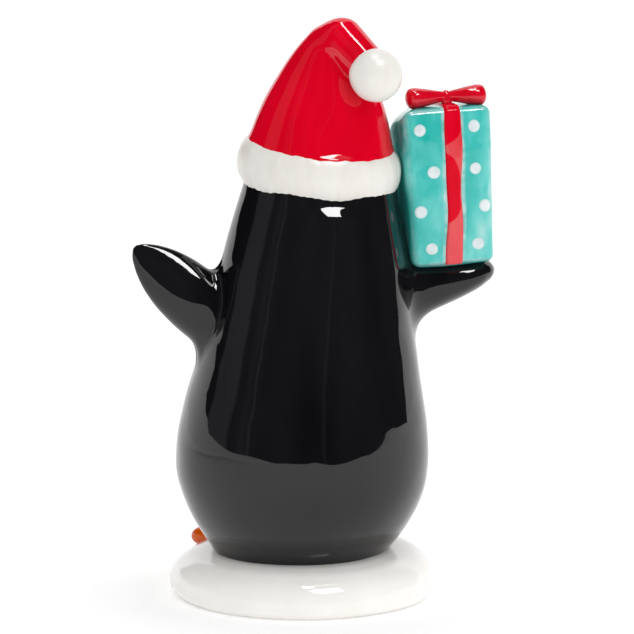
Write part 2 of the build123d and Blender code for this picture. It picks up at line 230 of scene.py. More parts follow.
# Gift box, ribbon and bow. A sway is a height, a length and a start
GIFT_ORIGIN = (-58.0, 3.0, 130.8)
GIFT_LEAN_DEG = 3.4
GIFT_HEIGHT = 60.4
GIFT_SINK = 1.2
GIFT_HALF_WIDTH = (16.5, 17.7)
GIFT_HALF_DEPTH = (15.0, 16.0)
GIFT_EDGE = 3.6
GIFT_PILLOW = 0.35
GIFT_SLOPE = (0.62, -0.16, 0.77)
GIFT_SLOPE_CUT = 1.0
GIFT_SLOPE_EDGE = 3.0
GIFT_WAVES = (0.2, 24.0, 5)
RIBBON_HALF_WIDTH = 3.2
RIBBON_PROUD = 1.0
RIBBON_BED = 0.6
RIBBON_OFFSET = -1.7
RIBBON_WAY = (
    (0.0, 0.1), (7.0, -0.4), (17.0, -1.0), (27.0, -1.2), (38.0, -1.5), (47.5, -1.8), (61.0, -2.2),
)
RIBBON_SWAY = (0.15, 4.0, 0.4)
RIBBON_SWELL = (0.3, 7.0, 1.1)
RIBBON_EDGE = 1.5
RIBBON_HEM = -0.4
RIBBON_CORE = (
    (0.0, -3.8), (15.0, -3.8), (17.5, 0.0), (20.0, 1.6), (26.0, 2.3), (36.0, 1.9), (41.0, -0.6),
    (43.5, -3.4), (45.5, -3.4), (48.0, 0.8), (52.0, 3.2), (60.0, 3.8),
)
RIBBON_CORE_EDGE = (-0.5, 0.6)
LEFT_LOOP_LENGTH = 16.0
LEFT_LOOP_RISE = 0.0
RIGHT_LOOP_LENGTH = 15.8
RIGHT_LOOP_RISE = -0.4
LOOP_AXIS_HEIGHT = 3.6
LOOP_END_EDGE = 1.2
BOW_BACK = 7.0
LOOP_HALF_HEIGHT = (
    (0.0, 1.6), (0.07, 1.9), (0.30, 2.7), (0.62, 3.7), (0.82, 4.0), (0.93, 3.4), (1.0, 1.6),
)
LOOP_HALF_DEPTH = (
    (0.0, 1.9), (0.07, 2.1), (0.30, 3.5), (0.62, 5.0), (0.82, 5.1), (0.93, 4.2), (1.0, 2.2),
)
KNOT_HALF_SIZE = (2.2, 2.6, 4.0)
KNOT_BED = 2.0

# Where the teal glaze wears pale at the edges, where a reflection of the brim is painted pale on the
# inner face, where it pools, and where the hat keeps the light off it
BROAD_FACE_FROM = (8.0, 12.0)
INNER_HALF_FROM = (0.0, 4.0)
WORN_EDGE = (-2.6, -0.9)
WORN_CORNER = 0.4
WORN_BESIDE_RIBBON = (-1.5, -0.5)
# Painted reflection of the white brim: a pale patch high on the inner face, near its surface
PAINTED_BRIM_REFLECTION = 0.4
PAINTED_REFLECTION_EDGE = (-2.0, -1.0)
PAINTED_REFLECTION_HEIGHT = (34.0, 48.0)
POOL_DEPTH = (-1.2, 0.5)
INNER_FACE_FROM = (-1.6, -0.6)

# Dots of white glaze on the gift: across from the middle of a face, and up from the underside
DOT_RADIUS = 2.35
DOT_PROUD = 0.18
DOT_SEED = 7
DOT_SMALLEST = (0.92, 0.92, 1.0)
DOT_LARGEST = (1.08, 1.08, 1.0)
NEAR_DOTS = (
    (11.1, 52.2), (6.4, 35.7), (12.3, 20.7), (8.7, 6.2),
    (-10.2, 52.5), (-10.0, 36.1), (-13.2, 21.5), (-9.7, 6.9),
)
END_DOTS = ((-8.0, 51.0), (7.0, 44.0), (-5.0, 31.0), (8.5, 22.0), (-8.5, 13.0), (4.0, 7.0))

# Hand-made unevenness: how many waves, how far their lengths and starts differ, and their sum's reach
RIPPLE_WAVES = 6
RIPPLE_STRETCH = (0.6, 1.5)
RIPPLE_START = (0.0, 6.28)
RIPPLE_REACH = 3.2

# Nets of the skins: spacing for each piece, margin round it, and how points settle on the skin
BODY_NET = 1.1
FRONT_NET = 0.6
BASE_NET = 1.0
CROWN_NET = 0.8
BRIM_NET = 0.7
POM_NET = 0.6
GIFT_NET = 0.6
RIBBON_NET = 0.45
LOOP_NET = 0.45
KNOT_NET = 0.4
FOOT_NET = 0.6
BEAK_NET = 0.5
EYE_NET = 0.3
NET_MARGIN = 2.5
SLOPE_STEP = 0.02
SLOPE_LEAST = 0.05
SETTLE_MOST = 0.6
SETTLE_ROUNDS = 4
DOT_SETTLE_ROUNDS = 12

# Glaze over all pieces
GLAZE_IOR = 1.5
GLAZE_SPECULAR = 0.5
GLAZE_WAVE_SCALE = 55.0
GLAZE_WAVE_DETAIL = 1.5
PINHOLE_SCALE = 150.0
PINHOLE_SIZE = 0.06
BARE = (0, 0, 0, 1)
COVERED = (1, 1, 1, 1)

# Studio, in metres: the room is turned from its profile, and its greys go round it from left to right
FLOOR_HALF = 6.0
FLOOR_GREY = 0.92
FLOOR_ROUGHNESS = 0.8
FLOOR_GLOW = 0.2
STUDIO_LIGHT = 1.09
ROOM_RADIUS = 1.8
ROOM_SPOKES = 150
ROOM_REACH_DEG = 150.0
ROOM_UPPER_ROWS = ((1.8, 1.2), (1.35, 1.7), (0.01, 1.95))
ROOM_FOOT_RADIUS = (
    (0.0, 1.8), (0.417, 1.8), (0.50, 1.6), (0.60, 1.5), (0.663, 1.5), (0.70, 1.8), (1.0, 1.8),
)
ROOM_FOOT_HEIGHT = (
    (0.0, 0.36), (0.133, 0.38), (0.153, 0.28), (0.18, 0.20), (0.233, 0.18), (0.30, 0.17),
    (0.367, 0.10), (0.417, 0.02), (0.50, 0.001), (0.663, 0.001), (0.70, 0.02), (0.725, 0.05),
    (0.777, 0.09), (0.80, 0.09), (0.86, 0.06), (1.0, 0.03),
)
ROOM_RIGHT_REACH_DEG = (112.0, 112.0, 134.0, 150.0, 150.0)
ROOM_RIGHT_START_SHARE = 0.8
ROOM_LEVELS = (
    (0.0, 0.01), (0.173, 0.01), (0.180, 0.19), (0.260, 0.24), (0.275, 0.03), (0.300, 0.03),
    (0.318, 0.10), (0.339, 0.06), (0.3445, 0.24), (0.352, 0.04), (0.384, 0.01), (0.464, 0.04),
    (0.515, 0.01), (0.569, 0.03), (0.5756, 0.14), (0.583, 0.01), (0.674, 0.03), (0.718, 0.01),
    (1.0, 0.02),
)
ROOM_BLUE = 1.04
ROOM_WANDER = 0.02
WINDOW_AZIMUTH_DEG = 203.0
WINDOW_ELEVATION_DEG = 64.0
WINDOW_DISTANCE = 1.2
WINDOW_SIZE = (0.36, 0.26)
WINDOW_LIGHT = 22.0
CEILING_LAMP_MIDDLE = (0.0, 0.03, 1.3)
CEILING_LAMP_SIZE = (0.14, 0.50)
CEILING_LAMP_LIGHT = 18.0
FLAG_OUT = 1.1
FLAG_SIZE = (1.2, 0.9)
FLAG_GREY = 0.01
SQUARE = ((-1, -1), (1, -1), (1, 1), (-1, 1))


# Places and turns

def turn(axis, degrees):
    return np.array(Matrix.Rotation(math.radians(degrees), 3, axis))


def place(origin, turned=np.eye(3), within=None):
    """A place as (turn, origin), given inside another place if there is one."""
    origin = np.array(origin, float)
    if within is None:
        return turned, origin
    return within[0] @ turned, within[0] @ origin + within[1]


def local(points, spot):
    return (points - spot[1]) @ spot[0]


def outward(points, spot):
    return np.array(points, float) @ spot[0].T + spot[1]


BODY = place(BODY_ORIGIN, turn("Y", -BODY_LEAN_DEG))
HAT = place((HAT_STEP, 0, HEAD_HEIGHT), turn("X", -HAT_PITCH_DEG) @ turn("Y", HAT_ROLL_DEG), BODY)
BRIM = place((0, 0, 0), turn("Y", -BRIM_ROLL_DEG), HAT)
GIFT = place(GIFT_ORIGIN, turn("Y", GIFT_LEAN_DEG))
FLIPPER = place(FLIPPER_ROOT, turn("Y", 90.0 - FLIPPER_RISE_DEG))
PALM = place(PALM_ORIGIN)
BOW = place((RIBBON_OFFSET, BOW_BACK, GIFT_HEIGHT), np.eye(3), GIFT)
FOLD = place((0, 0, TAIL_HEIGHT), turn("Z", 180.0 - TAIL_TURN_DEG), HAT)
TAIL = place((TAIL_OUT, 0, 0), turn("Y", 90.0 + TAIL_DROP_DEG), FOLD)


# Curves and distances: a field is negative inside a piece

def curve(x, stations):
    """A smooth curve through stations of (position, value), with even slopes."""
    at = np.array([s[0] for s in stations], float)
    value = np.array([s[1] for s in stations], float)
    slope = np.gradient(value, at)
    x = np.clip(x, at[0], at[-1])
    i = np.clip(np.searchsorted(at, x, side="right") - 1, 0, len(at) - 2)
    gap = at[i + 1] - at[i]
    t = (x - at[i]) / gap
    rise = value[i] * (2 * t**3 - 3 * t**2 + 1) + value[i + 1] * (3 * t**2 - 2 * t**3)
    return rise + gap * (slope[i] * (t**3 - 2 * t**2 + t) + slope[i + 1] * (t**3 - t**2))


def fade(x, start, end):
    """Rises smoothly from 0 at the start to 1 at the end."""
    t = np.clip((x - start) / (end - start), 0, 1)
    return t * t * (3 - 2 * t)


def join(a, b, fillet):
    """Union of two fields with a fillet between them."""
    h = np.clip(0.5 + 0.5 * (b - a) / fillet, 0, 1)
    return b + (a - b) * h - fillet * h * (1 - h)


def trim(a, b, edge):
    """Overlap of two fields with a rounded edge."""
    return -join(-a, -b, edge)


def turned_form(points, outline):
    """Round form about Z with its radius from an outline."""
    radius = np.hypot(points[:, 0], points[:, 1])
    step = 0.5
    lean = (curve(points[:, 2] + step, outline) - curve(points[:, 2] - step, outline)) / (2 * step)
    return (radius - curve(points[:, 2], outline)) / np.sqrt(1 + lean**2)


def egg(points, half_sizes):
    near = np.linalg.norm(points / np.array(half_sizes), axis=1)
    return (near - 1) * min(half_sizes)


def leaf(along, across, through, half_width, half_thickness):
    """Flat leaf whose width and thickness change along its length."""
    wide = curve(along, half_width)
    thick = curve(along, half_thickness)
    spread = np.sqrt((across / wide) ** 2 + (through / thick) ** 2)
    end = half_width[-1][0]
    start = half_width[0][0]
    side = (spread - 1) * np.minimum(wide, thick)
    return np.maximum(np.maximum(side, along - end), start - along)


def ripple(points, length, seed):
    """Gentle hand-made unevenness between about -1 and 1, with waves of a given length."""
    chance = np.random.default_rng(seed)
    total = np.zeros(len(points))
    for _ in range(RIPPLE_WAVES):
        heading = chance.normal(size=3)
        heading /= np.linalg.norm(heading)
        pitch = 2 * math.pi / length * chance.uniform(*RIPPLE_STRETCH)
        total += np.sin(pitch * (points @ heading) + chance.uniform(*RIPPLE_START))
    return total / RIPPLE_REACH


def waves(points, height, length, seed):
    return height * ripple(points, length, seed)


def sway(up, height, length, start):
    return height * np.sin(up / length + start)


# Forms of the pieces

def gift_halves(height):
    share = np.clip(height / GIFT_HEIGHT, 0, 1)
    wide = GIFT_HALF_WIDTH[0] + (GIFT_HALF_WIDTH[1] - GIFT_HALF_WIDTH[0]) * share
    deep = GIFT_HALF_DEPTH[0] + (GIFT_HALF_DEPTH[1] - GIFT_HALF_DEPTH[0]) * share
    return np.column_stack((wide, deep, np.full(len(height), (GIFT_HEIGHT + GIFT_SINK) / 2)))


def gift_block(points):
    p = local(points, GIFT)
    half = gift_halves(p[:, 2])
    middle = p - np.array((0, 0, (GIFT_HEIGHT - GIFT_SINK) / 2))
    q = np.abs(middle) - half + GIFT_EDGE
    near = np.linalg.norm(np.maximum(q, 0), axis=1) + np.minimum(q.max(axis=1), 0) - GIFT_EDGE
    dent = 1 - np.clip((np.abs(middle) / half) ** 2, 0, 1)
    pillow = dent[:, 0] * dent[:, 1] + dent[:, 0] * dent[:, 2] + dent[:, 1] * dent[:, 2]
    near = near + GIFT_PILLOW * (1 - np.clip(pillow, 0, 1)) + waves(points, *GIFT_WAVES)
    corner = np.array((GIFT_HALF_WIDTH[1], GIFT_HALF_DEPTH[1], GIFT_HEIGHT))
    slope = (p - corner) @ np.array(GIFT_SLOPE) + GIFT_SLOPE_CUT
    return trim(near, slope, GIFT_SLOPE_EDGE)


def behind(p):
    """1 on the middle of the back, falling to 0 at the sides, and 0 in front."""
    across = (p[:, 0] - BACK_DENT_ACROSS) / BACK_DENT_WIDTH
    return np.exp(-(across**2)) * (p[:, 1] > 0)


def body_turning(points):
    p = local(points, BODY)
    uneven = waves(points, *BODY_WAVES) + waves(points, *BODY_FINE_WAVES)
    under_brim = local(points, HAT)
    dent = NECK_DENT * fade(under_brim[:, 2], NECK_DENT_FOOT, NECK_DENT_TOP)
    dent = dent - NECK_SWELL * fade(under_brim[:, 2], NECK_SWELL_FOOT, NECK_DENT_FOOT)
    return turned_form(p, BODY_OUTLINE) + uneven + dent * behind(under_brim)


def left_flipper(points):
    """Leaf with a soft ridge along its back, a little above the middle."""
    p = local(points, FLIPPER)
    along = p[:, 2]
    wide = curve(along, FLIPPER_HALF_WIDTH)
    back = curve(along, FLIPPER_BACK_THICKNESS)
    front = curve(along, FLIPPER_FRONT_THICKNESS)
    thick = np.where(p[:, 1] > 0, back, front)
    below = p[:, 0] / wide + FLIPPER_RIDGE
    off_ridge = np.where(below > 0, below / (1 + FLIPPER_RIDGE), -below / (1 - FLIPPER_RIDGE))
    spread = np.sqrt(off_ridge**2 + (p[:, 1] / thick) ** 2)
    side = (spread - 1) * np.minimum(wide, thick)
    tip = along - FLIPPER_HALF_WIDTH[-1][0]
    root = FLIPPER_HALF_WIDTH[0][0] - along
    return np.maximum(np.maximum(side, tip), root)


def right_palm(points):
    p = local(points, PALM)
    along = -p[:, 0]
    across = p[:, 2] + curve(along, PALM_HALF_DEPTH) + curve(along, PALM_TIP_DROP)
    return leaf(along, across, p[:, 1], PALM_HALF_DEPTH, PALM_HALF_WIDTH)


def black_body(points):
    """Body and both flippers under one black glaze that runs over their joints."""
    skin = body_turning(points)
    at_back = fade(points[:, 1], *FLIPPER_BACK_FROM)
    fillet = FLIPPER_FILLET + (FLIPPER_BACK_FILLET - FLIPPER_FILLET) * at_back
    skin = join(skin, left_flipper(points), fillet)
    skin = join(skin, right_palm(points), PALM_FILLET)
    skin = np.maximum(skin, BASE_HEIGHT - BODY_BED - points[:, 2])
    skin = np.maximum(skin, local(points, HAT)[:, 2] - HEAD_IN_HAT)
    return np.maximum(skin, -gift_block(points))


def white_front(points):
    p = local(points, BODY)
    belly = egg(np.column_stack((p[:, 0], p[:, 2] - BELLY_PATCH_HEIGHT)), BELLY_PATCH)
    share = np.clip((p[:, 2] - BELLY_PATCH_HEIGHT) / (CHIN_HEIGHT - BELLY_PATCH_HEIGHT), 0, 1)
    chin = np.abs(p[:, 0]) - (BELLY_PATCH[0] + (CHIN_HALF_WIDTH - BELLY_PATCH[0]) * share)
    chin_middle = (BELLY_PATCH_HEIGHT + CHIN_HEIGHT) / 2
    chin_half_height = (CHIN_HEIGHT - BELLY_PATCH_HEIGHT) / 2
    chin = np.maximum(chin, np.abs(p[:, 2] - chin_middle) - chin_half_height)
    outline = join(belly, chin, CHIN_FILLET)
    for side in (RIGHT, LEFT):
        cheek = np.hypot(p[:, 0] - side * FACE_PATCH_SPREAD, p[:, 2] - FACE_PATCH_HEIGHT)
        outline = join(outline, cheek - FACE_PATCH_RADIUS, FACE_FILLET)
    skin = body_turning(points)
    relief = trim(skin - FRONT_RELIEF, outline, FRONT_EDGE)
    relief = np.maximum(relief, -skin - FRONT_BED)
    return np.maximum(relief, p[:, 1])


def snow_mound(points):
    p = points.copy()
    p[:, 1] *= BASE_WIDTH / BASE_DEPTH
    snow = p.copy()
    snow[:, 0] = (snow[:, 0] - SNOW_SHIFT) / SNOW_WIDEN
    snow[:, 2] -= SNOW_LIFT * fade(-p[:, 0], *SNOW_LIFT_FROM) * fade(p[:, 2], *SNOW_LIFT_HEIGHT)
    drift = ripple(points, DRIFT_LENGTH, DRIFT_SEED)
    rim = turned_form(snow, BASE_OUTLINE) + np.maximum(DRIFT_RIM_INSET + DRIFT_ON_RIM * drift, 0)
    rim = rim + GRAIN_HEIGHT * (1 + ripple(points, GRAIN_LENGTH, GRAIN_SEED))
    top = points[:, 2] - BASE_HEIGHT + DRIFT_TOP_INSET - DRIFT_ON_TOP * drift
    mound = trim(rim, top, BASE_EDGE)
    mound = np.maximum(mound, -points[:, 2])
    ring_radius = BASE_WIDTH / 2 - FOOT_RING_INSET
    recess = np.maximum(np.hypot(p[:, 0], p[:, 1]) - ring_radius, points[:, 2] - FOOT_RING_HEIGHT)
    vent = np.maximum(np.hypot(points[:, 0], points[:, 1]) - VENT_RADIUS, points[:, 2] - VENT_TOP)
    return np.maximum(mound, -np.minimum(recess, vent))


def hat_cone(points):
    """Cone of the hat, with a flared hem and a dent above it at the back."""
    p = local(points, HAT)
    above_hem = np.maximum(p[:, 2] - HEM_HEIGHT, 0)
    flare = HEM_FLARE * np.exp(-above_hem / HEM_REACH)
    dent = HEM_DENT * (1 - np.exp(-above_hem / HEM_DENT_REACH))
    dent = dent * (1 - fade(p[:, 2], *HEM_DENT_FADE)) * behind(p)
    cone = turned_form(p, CROWN_OUTLINE) - flare + dent + waves(points, *CROWN_WAVES)
    return trim(cone, p[:, 2] - CROWN_HEIGHT, CROWN_PEAK_EDGE)


def hat_tail(points):
    """Point of the hat, folded over and narrowing to the pom-pom."""
    t = local(points, TAIL)
    share = np.clip(t[:, 2] / TAIL_LENGTH, 0, 1)
    t[:, 2] -= TAIL_LENGTH * share
    return np.linalg.norm(t, axis=1) - (TAIL_RADIUS + (TAIL_END_RADIUS - TAIL_RADIUS) * share)


def hat_crown(points):
    up = local(points, HAT)[:, 2]
    fillet = CREASE_FILLET + (FOLD_FILLET - CREASE_FILLET) * fade(up, *FOLD_HEIGHT)
    return np.maximum(join(hat_cone(points), hat_tail(points), fillet), -up - CROWN_UNDER_BRIM)


def fur_roll(points):
    p = local(points, BRIM)
    around = np.arctan2(p[:, 1], p[:, 0])
    across = np.hypot(p[:, 0], p[:, 1]) - BRIM_MIDDLE_RADIUS
    wave = sum(share * np.sin(count * around + start) for count, start, share in FUR_SWAGS)
    up = p[:, 2] - (FUR_SWAG_ABOVE + FUR_SWAG_BELOW * fade(-p[:, 2], *FUR_SWAG_FADE)) * wave
    spread = np.sqrt((across / BRIM_HALF_WIDTH) ** 2 + (up / BRIM_HALF_HEIGHT) ** 2)
    hang = np.clip(-up / BRIM_HALF_HEIGHT, 0, 1)
    slant = TUFT_SLANT * p[:, 2] + TUFT_WANDER * np.sin(TUFT_WANDER_COUNT * around)
    tufts = (TUFT_ABOVE + TUFT_BELOW * hang) * np.sin(TUFT_COUNT * around + slant)
    return (spread - 1) * BRIM_HALF_WIDTH + tufts + waves(points, *FUR_WAVES)


def pom_ball(points):
    low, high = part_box("pom_pom")
    middle = np.array((low + high) / 2) / MM
    radius = (high.z - low.z) / 2 / MM
    return np.linalg.norm(points - middle, axis=1) - radius + POM_INSET + waves(points, *POM_WAVES)


def ribbon_way(p):
    """Middle of the ribbon across the box: it wanders a little on its way up."""
    return curve(p[:, 2], RIBBON_WAY) + sway(p[:, 2], *RIBBON_SWAY)


def gift_paint(points):
    """Where the teal glaze wears pale at the edges and beside the ribbon, where a reflection of the brim
    is painted on the upper inner face, where it pools at the underside, and where the hat shades it.
    """
    p = local(points, GIFT)
    to_faces = np.abs(p - np.array((0, 0, (GIFT_HEIGHT - GIFT_SINK) / 2))) - gift_halves(p[:, 2])
    broad_edge = np.minimum(to_faces[:, 1], to_faces[:, 2])
    corner_edge = np.minimum(to_faces[:, 0], to_faces[:, 1])
    beside = np.abs(p[:, 0] - ribbon_way(p)) - RIBBON_HALF_WIDTH
    on_broad_face = fade(np.abs(p[:, 1]), *BROAD_FACE_FROM)
    inner_half = fade(p[:, 0], *INNER_HALF_FROM)
    thin_glaze_and_reflection = np.maximum(fade(broad_edge, *WORN_EDGE), WORN_CORNER * fade(corner_edge, *WORN_EDGE))
    thin_glaze_and_reflection = np.maximum(thin_glaze_and_reflection, fade(-beside, *WORN_BESIDE_RIBBON) * on_broad_face)
    # Painted reflection of the brim: the upper part of the inner face is made paler, in the same mask as
    # the wear
    brim_reflection = PAINTED_BRIM_REFLECTION * fade(to_faces[:, 0], *PAINTED_REFLECTION_EDGE) * inner_half
    thin_glaze_and_reflection = np.maximum(thin_glaze_and_reflection, brim_reflection * fade(p[:, 2], *PAINTED_REFLECTION_HEIGHT))
    pooled = fade(-p[:, 2], *POOL_DEPTH)
    inner = fade(to_faces[:, 0], *INNER_FACE_FROM) * inner_half
    return {"thin_glaze_and_reflection": thin_glaze_and_reflection, "pooled": pooled, "inner": inner}


def ribbon_paint(points):
    """Where the second coat of red lies on the ribbon."""
    p = local(points, GIFT)
    across = p[:, 0] - ribbon_way(p) + curve(p[:, 2], RIBBON_CORE)
    return {"core": fade(across, *RIBBON_CORE_EDGE)}


def ribbon_band(points):
    p = local(points, GIFT)
    block = gift_block(points)
    wide = RIBBON_HALF_WIDTH + sway(p[:, 2], *RIBBON_SWELL)
    band = np.abs(p[:, 0] - ribbon_way(p)) - wide
    band = trim(band, block - RIBBON_PROUD, RIBBON_EDGE)
    band = np.maximum(band, -block - RIBBON_BED)
    return np.maximum(band, RIBBON_HEM - p[:, 2])


def bow_loop(points, side, length, rise):
    p = local(points, BOW)
    along = side * p[:, 0] / length
    high = curve(along, LOOP_HALF_HEIGHT)
    deep = curve(along, LOOP_HALF_DEPTH)
    up = p[:, 2] - LOOP_AXIS_HEIGHT - rise * np.clip(along, 0, 1)
    spread = np.sqrt((up / high) ** 2 + (p[:, 1] / deep) ** 2)
    loop = (spread - 1) * np.minimum(high, deep)
    loop = trim(loop, (along - 1) * length, LOOP_END_EDGE)
    return np.maximum(loop, -along * length)


def bow_knot(points):
    p = local(points, BOW) - np.array((0, 0, KNOT_HALF_SIZE[2] - KNOT_BED))
    return egg(p, KNOT_HALF_SIZE)


def foot(points, side):
    origin = (FEET_MIDDLE + side * FOOT_SPREAD, FOOT_FORWARD, BASE_HEIGHT - FOOT_BED)
    spot = place(origin, turn("Z", side * FOOT_TOE_OUT_DEG) @ turn("X", FOOT_PITCH_DEG))
    p = local(points, spot)
    web = egg(p - np.array((0, PAD_FORWARD, 0)), PAD_HALF_SIZE)
    for fan in (-1, 0, 1):
        toe = local(p, place((fan * TOE_SPREAD, TOE_FORWARD, 0), turn("Z", fan * TOE_FAN_DEG)))
        web = join(web, egg(toe, TOE_HALF_SIZE), TOE_FILLET)
    return web


def beak(points):
    low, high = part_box("beak")
    middle = np.array((low + high) / 2) / MM
    origin = (middle[0], np.array(high)[1] / MM, middle[2] + BEAK_RISE)
    p = local(points, place(origin, turn("X", BEAK_TILT_DEG)))
    return leaf(-p[:, 1], p[:, 0], p[:, 2], BEAK_HALF_WIDTH, BEAK_HALF_HEIGHT)


def eye(points, node):
    low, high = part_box(node)
    middle = np.array((low + high) / 2) / MM
    middle[1] += EYE_SET_IN
    return egg(points - middle, EYE_HALF_SIZE)


# Meshing: a net of quads over the zero level of a field

def crossing_points(values, cells):
    total = np.zeros((len(cells), 3))
    hits = np.zeros(len(cells))
    for axis in range(3):
        step = np.eye(3, dtype=int)[axis]
        others = [np.eye(3, dtype=int)[k] for k in range(3) if k != axis]
        for i in (0, 1):
            for j in (0, 1):
                start = cells + i * others[0] + j * others[1]
                a = values[tuple(start.T)]
                b = values[tuple((start + step).T)]
                cross = (a < 0) != (b < 0)
                share = np.where(cross, a / np.where(a == b, 1, a - b), 0)
                total[cross] += (start + share[:, None] * step)[cross]
                hits[cross] += 1
    return total / hits[:, None]


def net_faces(inside, index):
    faces = []
    for axis in range(3):
        step = np.eye(3, dtype=int)[axis]
        u, v = [np.eye(3, dtype=int)[k] for k in ((axis + 1) % 3, (axis + 2) % 3)]
        near = tuple(slice(None, -1) if k == axis else slice(None) for k in range(3))
        far = tuple(slice(1, None) if k == axis else slice(None) for k in range(3))
        lower = np.argwhere(inside[near] != inside[far])
        quad = np.stack([index[tuple((lower - a).T)] for a in (0 * u, u, u + v, v)], axis=1)
        flip = ~inside[tuple(lower.T)]
        quad[flip] = quad[flip][:, ::-1]
        faces.append(quad)
    return np.concatenate(faces)


def uphill(points, field):
    """The way a field rises at each point, which is out of the piece."""
    rises = [field(points + SLOPE_STEP * e) - field(points - SLOPE_STEP * e) for e in np.eye(3)]
    return np.stack(rises, axis=1) / (2 * SLOPE_STEP)


def settle(points, field, rounds=SETTLE_ROUNDS):
    """Moves points onto the zero level of a field."""
    for _ in range(rounds):
        slope = uphill(points, field)
        steep = np.maximum((slope**2).sum(axis=1), SLOPE_LEAST)
        points = points - np.clip(field(points) / steep, -SETTLE_MOST, SETTLE_MOST)[:, None] * slope
    return points


def glazed_skin(name, field, box, step, material, paint=None):
    """A smooth closed mesh on the zero level of a field, inside a box given in millimetres.

    Paint gives named values at the points, for the glaze to use."""
    low = np.array(box[0], float) - NET_MARGIN * step
    size = np.ceil((np.array(box[1], float) + NET_MARGIN * step - low) / step).astype(int) + 1
    grid = np.stack(np.meshgrid(*[np.arange(n) for n in size], indexing="ij"), axis=-1)
    grid = grid.reshape(-1, 3)
    values = field(low + step * grid).reshape(size)
    inside = values < 0
    count = sum(inside[i:size[0] - 1 + i, j:size[1] - 1 + j, k:size[2] - 1 + k].astype(int)
                for i in (0, 1) for j in (0, 1) for k in (0, 1))
    active = (count > 0) & (count < 8)
    index = np.full(size, -1)
    index[:-1, :-1, :-1][active] = np.arange(active.sum())
    points = settle(low + step * crossing_points(values, np.argwhere(active)), field)
    mesh = bpy.data.meshes.new(name)
    mesh.from_pydata((points * MM).tolist(), [], net_faces(inside, index).tolist())
    mesh.validate()
    mesh.polygons.foreach_set("use_smooth", np.ones(len(mesh.polygons), bool))
    mesh.materials.append(material)
    for tag, strength in (paint(points) if paint else {}).items():
        attribute = mesh.attributes.new(tag, "FLOAT", "POINT")
        attribute.data.foreach_set("value", strength.astype(np.float32))
    piece = bpy.data.objects.new(name, mesh)
    bpy.context.scene.collection.objects.link(piece)
    return piece


def node_box(*nodes, grow=1.5):
    lows = np.array([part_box(n)[0] for n in nodes]) / MM
    highs = np.array([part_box(n)[1] for n in nodes]) / MM
    return lows.min(axis=0) - grow, highs.max(axis=0) + grow


def hand_over(piece, slot, *nodes):
    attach(piece, "root")
    if nodes:
        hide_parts(*nodes)
    return piece


# Glazes

def srgb(red, green, blue):
    def linear(c):
        c /= 255
        return c / 12.92 if c <= 0.04045 else ((c + 0.055) / 1.055) ** 2.4
    return linear(red), linear(green), linear(blue), 1.0


def new_node(tree, kind, **sockets):
    node = tree.nodes.new(kind)
    for name, value in sockets.items():
        node.inputs[name.replace("_", " ")].default_value = value
    return node


def wire(tree, kind, **sources):
    """A node whose named sockets are linked to the outputs of others."""
    node = tree.nodes.new(kind)
    for name, source in sources.items():
        tree.links.new(source, node.inputs[name.replace("_", " ")])
    return node


def noise(tree, coordinates, scale, detail=3.0, stretch=(1, 1, 1)):
    mapping = new_node(tree, "ShaderNodeMapping", Scale=stretch)
    tree.links.new(coordinates, mapping.inputs["Vector"])
    node = new_node(tree, "ShaderNodeTexNoise", Scale=scale, Detail=detail)
    tree.links.new(mapping.outputs["Vector"], node.inputs["Vector"])
    return node.outputs["Fac"]


def ramp(tree, factor, *stops):
    node = tree.nodes.new("ShaderNodeValToRGB")
    while len(node.color_ramp.elements) < len(stops):
        node.color_ramp.elements.new(1.0)
    for element, (at, colour) in zip(node.color_ramp.elements, stops):
        element.position = at
        element.color = colour
    tree.links.new(factor, node.inputs["Fac"])
    return node.outputs["Color"]


def sum_up(tree, operation, a, b):
    node = tree.nodes.new("ShaderNodeMath")
    node.operation = operation
    for socket, value in zip(node.inputs, (a, b)):
        if isinstance(value, float):
            socket.default_value = value
        else:
            tree.links.new(value, socket)
    return node.outputs[0]


def mix(tree, factor, a, b):
    node = tree.nodes.new("ShaderNodeMix")
    node.data_type = "RGBA"
    sockets = (node.inputs["Factor"], node.inputs[6], node.inputs[7])
    for socket, value in zip(sockets, (factor, a, b)):
        if isinstance(value, (float, tuple)):
            socket.default_value = value
        else:
            tree.links.new(value, socket)
    return node.outputs[2]


def painted(tree, tag):
    """Strength of a named paint on the skin."""
    node = tree.nodes.new("ShaderNodeAttribute")
    node.attribute_name = tag
    return node.outputs["Fac"]


def glaze(name, roughness, wave, pit):
    """A glossy glaze with slow waves and pinholes of given heights.

    Returns the material, its tree, its surface node and its coordinates."""
    material = bpy.data.materials.new(name)
    material.use_nodes = True
    tree = material.node_tree
    surface = tree.nodes["Principled BSDF"]
    surface.inputs["Roughness"].default_value = roughness
    surface.inputs["IOR"].default_value = GLAZE_IOR
    coordinates = tree.nodes.new("ShaderNodeTexCoord").outputs["Object"]
    slow = noise(tree, coordinates, GLAZE_WAVE_SCALE, GLAZE_WAVE_DETAIL)
    cells = new_node(tree, "ShaderNodeTexVoronoi", Scale=PINHOLE_SCALE)
    tree.links.new(coordinates, cells.inputs["Vector"])
    hole = ramp(tree, cells.outputs["Distance"], (0.0, BARE), (PINHOLE_SIZE, COVERED))
    swell = new_node(tree, "ShaderNodeBump", Strength=1.0, Distance=wave * MM)
    tree.links.new(slow, swell.inputs["Height"])
    holes = new_node(tree, "ShaderNodeBump", Strength=1.0, Distance=pit * MM)
    tree.links.new(hole, holes.inputs["Height"])
    tree.links.new(swell.outputs["Normal"], holes.inputs["Normal"])
    tree.links.new(holes.outputs["Normal"], surface.inputs["Normal"])
    return material, tree, surface, coordinates


